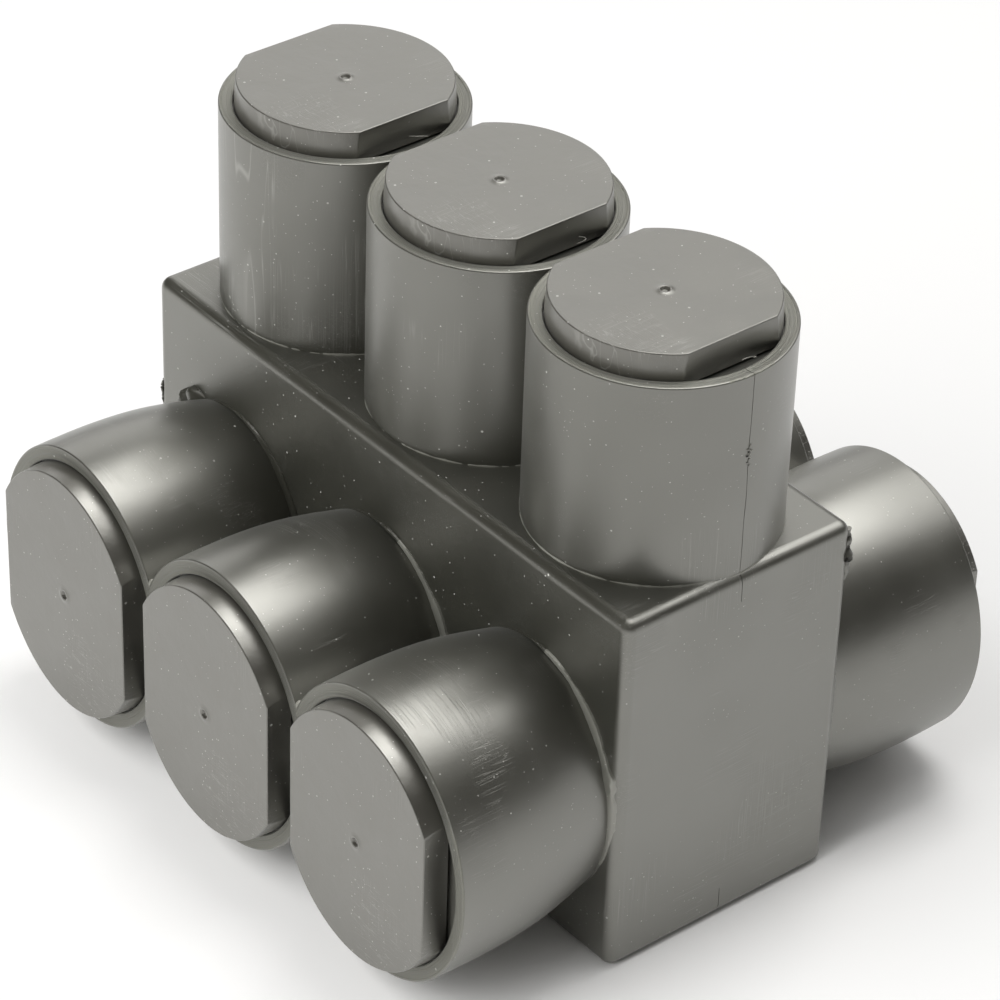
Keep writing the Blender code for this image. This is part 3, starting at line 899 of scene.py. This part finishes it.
class TAPCONNECTOR_OT_plugs(bpy.types.Operator):
    """Build the nine push-in plugs with their flats, skirts and gate marks"""
    bl_idname = "tapconnector.plugs"
    bl_label = "Push-in Plugs"

    def execute(self, context):
        sizes, colours = context.scene.tap_cover, context.scene.tap_colours
        self.plug = context.scene.tap_plugs
        mouths = both_mouths(sizes)
        for port in PORTS:
            for name, kind, place in mouth_places(port):
                label = f"screw_plug_{port}" if kind == "tower" else f"{name}_port_plug_{port}"
                material = moulded_material(f"{label}_plastic", colours.plug, colours, "plug")
                obj = mesh_object(f"moulded_{label}", loft(self.rings(mouths[kind], sizes)))
                obj.matrix_world = place
                shade(obj, 28)
                place_piece(obj, material, label, label)
        return {"FINISHED"}

    def outline(self, mouth, inset):
        """Disc with two flats and rounded corners, drawn in by the inset, as points of a ring."""
        radius, flat = mouth.head_radius - inset, mouth.flat - max(inset, 0.0)
        corner = max(self.plug.corner_rounding - max(inset, 0.0), 0.05 * MM)
        reach = math.sqrt((radius - corner) ** 2 - (flat - corner) ** 2)
        turn = math.atan2(reach, flat - corner)
        quarter_points = PLUG_SEGMENTS // 4
        on_flat, on_corner = 6, 8
        on_arc = quarter_points - on_flat - on_corner
        points = [(flat, reach * step / on_flat) for step in range(on_flat)]
        for step in range(on_corner):
            angle = turn * step / on_corner
            points.append((flat - corner + corner * math.cos(angle), reach + corner * math.sin(angle)))
        for step in range(on_arc):
            angle = turn + (math.pi / 2 - turn) * step / on_arc
            points.append((radius * math.cos(angle), radius * math.sin(angle)))
        points.append((0.0, radius))
        ring = points[:]
        ring += [(-x, y) for x, y in reversed(points[:-1])]
        ring += [(x, -y) for x, y in reversed(ring[1:-1])]
        return ring

    def rings(self, mouth, sizes):
        """Every ring of the plug from the middle of its face round to the middle of its cup."""
        plug = self.plug
        edge, top = plug.head_rounding, mouth.proud
        head_bottom = plug.seat_gap - sizes.seat_depth
        skirt = mouth.bore_radius - plug.skirt_gap
        inside = skirt - plug.skirt_wall
        end = head_bottom - plug.skirt_length
        draft = plug.head_draft
        face = self.outline(mouth, edge)
        angles = [math.atan2(y, x) for x, y in face]

        def raised(points, height, oval=mouth.oval):
            return [Vector((x, y * oval, height)) for x, y in points]

        def round_ring(radius, height, oval=mouth.oval):
            return [Vector((radius * math.cos(a), radius * oval * math.sin(a), height)) for a in angles]

        # The gate's mark: part of its radius, and millimetres above the face
        rings = [[Vector((0, 0, top - 0.22 * MM))]]
        for part, lift in ((0.35, -0.2), (0.6, 0.04), (0.8, 0.07), (1.0, 0.0), (1.5, -0.015)):
            rings.append(round_ring(part * plug.gate_radius, top + lift * MM, 1.0))
        inner = rings[-1]
        outer = raised(face, top)
        for part in (0.25, 0.5, 0.75, 0.92, 1.0):
            rings.append([a.lerp(b, part) for a, b in zip(inner, outer)])
        for radius, height in quarter(0, 0, edge, 90, 0, 4)[1:]:
            rings.append(raised(self.outline(mouth, edge - radius), top - edge + height))
        for part in (0.33, 0.66, 1.0):
            rings.append(raised(self.outline(mouth, -draft * math.sin(math.pi / 2 * part)),
                                top - edge + (head_bottom - top + edge) * part))
        chamfer = 0.6 * MM
        for radius, height in ((skirt, head_bottom), (skirt, end + chamfer), (skirt - chamfer, end),
                               (inside, end), (inside, top - plug.head_web)):
            rings.append(round_ring(radius, height))
        rings.append([Vector((0, 0, top - plug.head_web))])
        return rings


class TAPCONNECTOR_OT_screws(bpy.types.Operator):
    """Build the three threaded set screws with their hex sockets"""
    bl_idname = "tapconnector.screws"
    bl_label = "Set Screws"

    def execute(self, context):
        sizes, colours = context.scene.tap_screws, context.scene.tap_colours
        radius = (SET_SCREW_HIGH.x - SET_SCREW_LOW.x) / 2
        tall = SET_SCREW_HIGH.z - SET_SCREW_LOW.z
        for port in PORTS:
            label = f"set_screw_{port}"
            material = metal_material(f"{label}_metal", colours.aluminium, 0.0)
            obj = mesh_object(f"threaded_{label}", loft(self.rings(sizes, radius, tall)))
            obj.matrix_world = Matrix.Translation((port_x(port), 0, SET_SCREW_LOW.z))
            shade(obj, 28)
            place_piece(obj, material, label, label)
        return {"FINISHED"}

    def rings(self, sizes, radius, tall):
        """Rings from the middle of the lower end up the thread and down into the socket."""
        def hexagon(apothem, height):
            """Ring on a hexagon whose flats lie at the apothem."""
            ring = []
            for step in range(SCREW_SEGMENTS):
                angle = math.tau * step / SCREW_SEGMENTS
                away = (angle % (math.pi / 3)) - math.pi / 6
                ring.append(Vector((math.cos(angle), math.sin(angle), 0)) * apothem / math.cos(away))
                ring[-1].z = height
            return ring

        flat, mouth = sizes.across_flats / 2, 0.45 * MM
        socket_floor = tall - sizes.socket_depth
        rings = [[Vector((0, 0, 0))], circle(radius - sizes.chamfer - 0.4 * MM, 0, SCREW_SEGMENTS)]
        plain_end, rows_per_turn = 0.2 * MM, 6
        threaded = tall - 2 * plain_end
        rows = math.ceil(threaded / (sizes.thread_pitch / rows_per_turn))
        for row in range(rows + 1):
            height = plain_end + threaded * row / rows
            ring = []
            for step in range(SCREW_SEGMENTS):
                angle = math.tau * step / SCREW_SEGMENTS
                phase = (height / sizes.thread_pitch - step / SCREW_SEGMENTS) % 1.0
                groove = max(0.0, 1.0 - abs(2 * phase - 1.0) * 1.5)
                crest = radius - max(0.0, sizes.chamfer - height) - max(0.0, height - (tall - 0.6 * MM))
                reach = min(crest, radius - sizes.thread_depth * groove)
                ring.append(Vector((reach * math.cos(angle), reach * math.sin(angle), height)))
            rings.append(ring)
        rings += [circle(radius - 1.1 * MM, tall, SCREW_SEGMENTS), hexagon(flat + mouth, tall),
                  hexagon(flat, tall - mouth), hexagon(flat, socket_floor),
                  hexagon(0.8 * flat, socket_floor - 0.02 * MM), [Vector((0, 0, socket_floor - 1.2 * MM))]]
        return rings


class TAPCONNECTOR_OT_block(bpy.types.Operator):
    """Give the aluminium block its machined finish"""
    bl_idname = "tapconnector.block"
    bl_label = "Aluminium Block"

    def execute(self, context):
        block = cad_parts["connector_block"]
        block.data.materials.clear()
        block.data.materials.append(metal_material("block_metal", context.scene.tap_colours.aluminium,
                                                   context.scene.tap_screws.thread_pitch))
        return {"FINISHED"}


class TAPCONNECTOR_OT_stage(bpy.types.Operator):
    """Set the floor, soft lamps and camera"""
    bl_idname = "tapconnector.stage"
    bl_label = "Stage"

    def execute(self, context):
        self.floor(context.scene.tap_colours.floor)
        self.camera(context.scene)
        # Name, azimuth and elevation, distance, size, radiance, tint, only in the gloss
        warm = (1.0, 0.995, 0.985)
        self.lamp("top_light", (-10, 78), 0.9, 0.35, 10.5, warm, False)
        self.lamp("top_sheen", (2, 62), 0.9, 0.85, 2.3, warm, True)
        self.lamp("overhead_sheen", (-4, 80), 0.9, 0.60, 3.6, warm, True)
        self.lamp("left_softbox", (-58, 26), 1.1, 0.66, 1.35, warm, True)
        self.lamp("front_fill", (-165, 36), 1.2, 1.20, 5.0, (1.0, 1.0, 1.0), False)
        self.world(context.scene)
        context.scene.view_settings.view_transform = "Standard"
        return {"FINISHED"}

    def floor(self, tint):
        """Wide sheet of pale paper that glows white for camera and gloss rays, less where the connector is
        close, which paints a shade round its foot.
        """
        bm = bmesh.new()
        bmesh.ops.create_circle(bm, cap_ends=True, segments=96, radius=3.0)
        floor = mesh_object("floor", bm)
        material, tree, shader, where = new_material("floor_paper")
        clouds = noise_value(tree, where, 9.0, 3.0)
        tree.links.new(mix(tree, clouds, paint(tint, 0.985), paint(tint)), shader.inputs["Base Color"])
        shader.inputs["Roughness"].default_value = 0.7
        path = node(tree, "LightPath").outputs
        seen = maths(tree, "MAXIMUM", maths(tree, "MAXIMUM", path["Is Camera Ray"], path["Is Glossy Ray"]),
                     path["Is Transmission Ray"])
        # Ambient occlusion dims the glow near the connector: a painted shade on the floor round its foot.
        painted_shade_occlusion = node(tree, "AmbientOcclusion", {"Distance": 30 * MM}, samples=8).outputs["AO"]
        lift = maths(tree, "MULTIPLY", maths(tree, "POWER", painted_shade_occlusion, 2.0), 0.6)
        glow = node(tree, "Emission", {"Color": (1.0, 0.998, 0.992, 1.0)}).outputs[0]
        shown = maths(tree, "MULTIPLY", seen, lift)
        blend = node(tree, "MixShader", {0: shown, 1: shader.outputs[0], 2: glow})
        tree.links.new(blend.outputs[0], tree.nodes["Material Output"].inputs["Surface"])
        floor.data.materials.append(material)

    def camera(self, scene):
        data = bpy.data.cameras.new("photo_camera")
        data.sensor_width = 36.0
        data.lens = 153.756
        data.clip_start = 0.01
        camera = bpy.data.objects.new("photo_camera", data)
        camera.location = (0.28183, -0.23408, 0.28735)
        camera.rotation_euler = Euler([math.radians(a) for a in (54.9185, -1.6365, 51.2545)])
        scene.collection.objects.link(camera)
        scene.camera = camera

    def lamp(self, name, towards, distance, size, radiance, tint, mirrored):
        """Soft square lamp, at an azimuth from +Y and an elevation in degrees as seen from the connector.

        A mirrored lamp shows only in the gloss, any other lights only what is matt.
        """
        azimuth, elevation = (math.radians(angle) for angle in towards)
        place = Vector((math.sin(azimuth) * math.cos(elevation), math.cos(azimuth) * math.cos(elevation),
                        math.sin(elevation))) * distance
        data = bpy.data.lights.new(name, "AREA")
        data.size = size
        data.energy = radiance * math.pi * size * size
        data.color = tint
        lamp = bpy.data.objects.new(name, data)
        lamp.visible_glossy = mirrored
        lamp.visible_diffuse = not mirrored
        lamp.location = place
        lamp.rotation_euler = (Vector((0, 0, 0.03)) - place).to_track_quat("-Z", "Y").to_euler()
        bpy.context.scene.collection.objects.link(lamp)

    def world(self, scene):
        world = bpy.data.worlds.new("soft_studio")
        world.use_nodes = True
        background = world.node_tree.nodes["Background"]
        background.inputs["Color"].default_value = (1.0, 0.94, 0.8, 1.0)
        background.inputs["Strength"].default_value = 0.05
        scene.world = world


class TAPCONNECTOR_PT_panel(bpy.types.Panel):
    bl_idname = "TAPCONNECTOR_PT_panel"
    bl_label = "Tap Connector"
    bl_space_type = "VIEW_3D"
    bl_region_type = "UI"
    bl_category = "Tap Connector"

    def draw(self, context):
        for operator in OPERATORS:
            self.layout.operator(operator.bl_idname)
        for group in (context.scene.tap_cover, context.scene.tap_plugs, context.scene.tap_screws,
                      context.scene.tap_colours):
            box = self.layout.box()
            for name in group.__annotations__:
                box.prop(group, name)


GROUPS = {"tap_cover": CoverSizes, "tap_plugs": PlugSizes, "tap_screws": ScrewSizes,
          "tap_colours": MouldingColours}
OPERATORS = (TAPCONNECTOR_OT_cover, TAPCONNECTOR_OT_flash, TAPCONNECTOR_OT_plugs, TAPCONNECTOR_OT_screws,
             TAPCONNECTOR_OT_block, TAPCONNECTOR_OT_stage)


def register():
    for part in (*GROUPS.values(), *OPERATORS, TAPCONNECTOR_PT_panel):
        bpy.utils.register_class(part)
    for name, group in GROUPS.items():
        setattr(bpy.types.Scene, name, bpy.props.PointerProperty(type=group))


def unregister():
    for name in GROUPS:
        delattr(bpy.types.Scene, name)
    for part in (TAPCONNECTOR_PT_panel, *reversed(OPERATORS), *reversed(GROUPS.values())):
        bpy.utils.unregister_class(part)


def main():
    register()
    bpy.ops.tapconnector.cover()
    bpy.ops.tapconnector.flash()
    bpy.ops.tapconnector.plugs()
    bpy.ops.tapconnector.screws()
    bpy.ops.tapconnector.block()
    bpy.ops.tapconnector.stage()


if __name__ == "__main__":
    main()
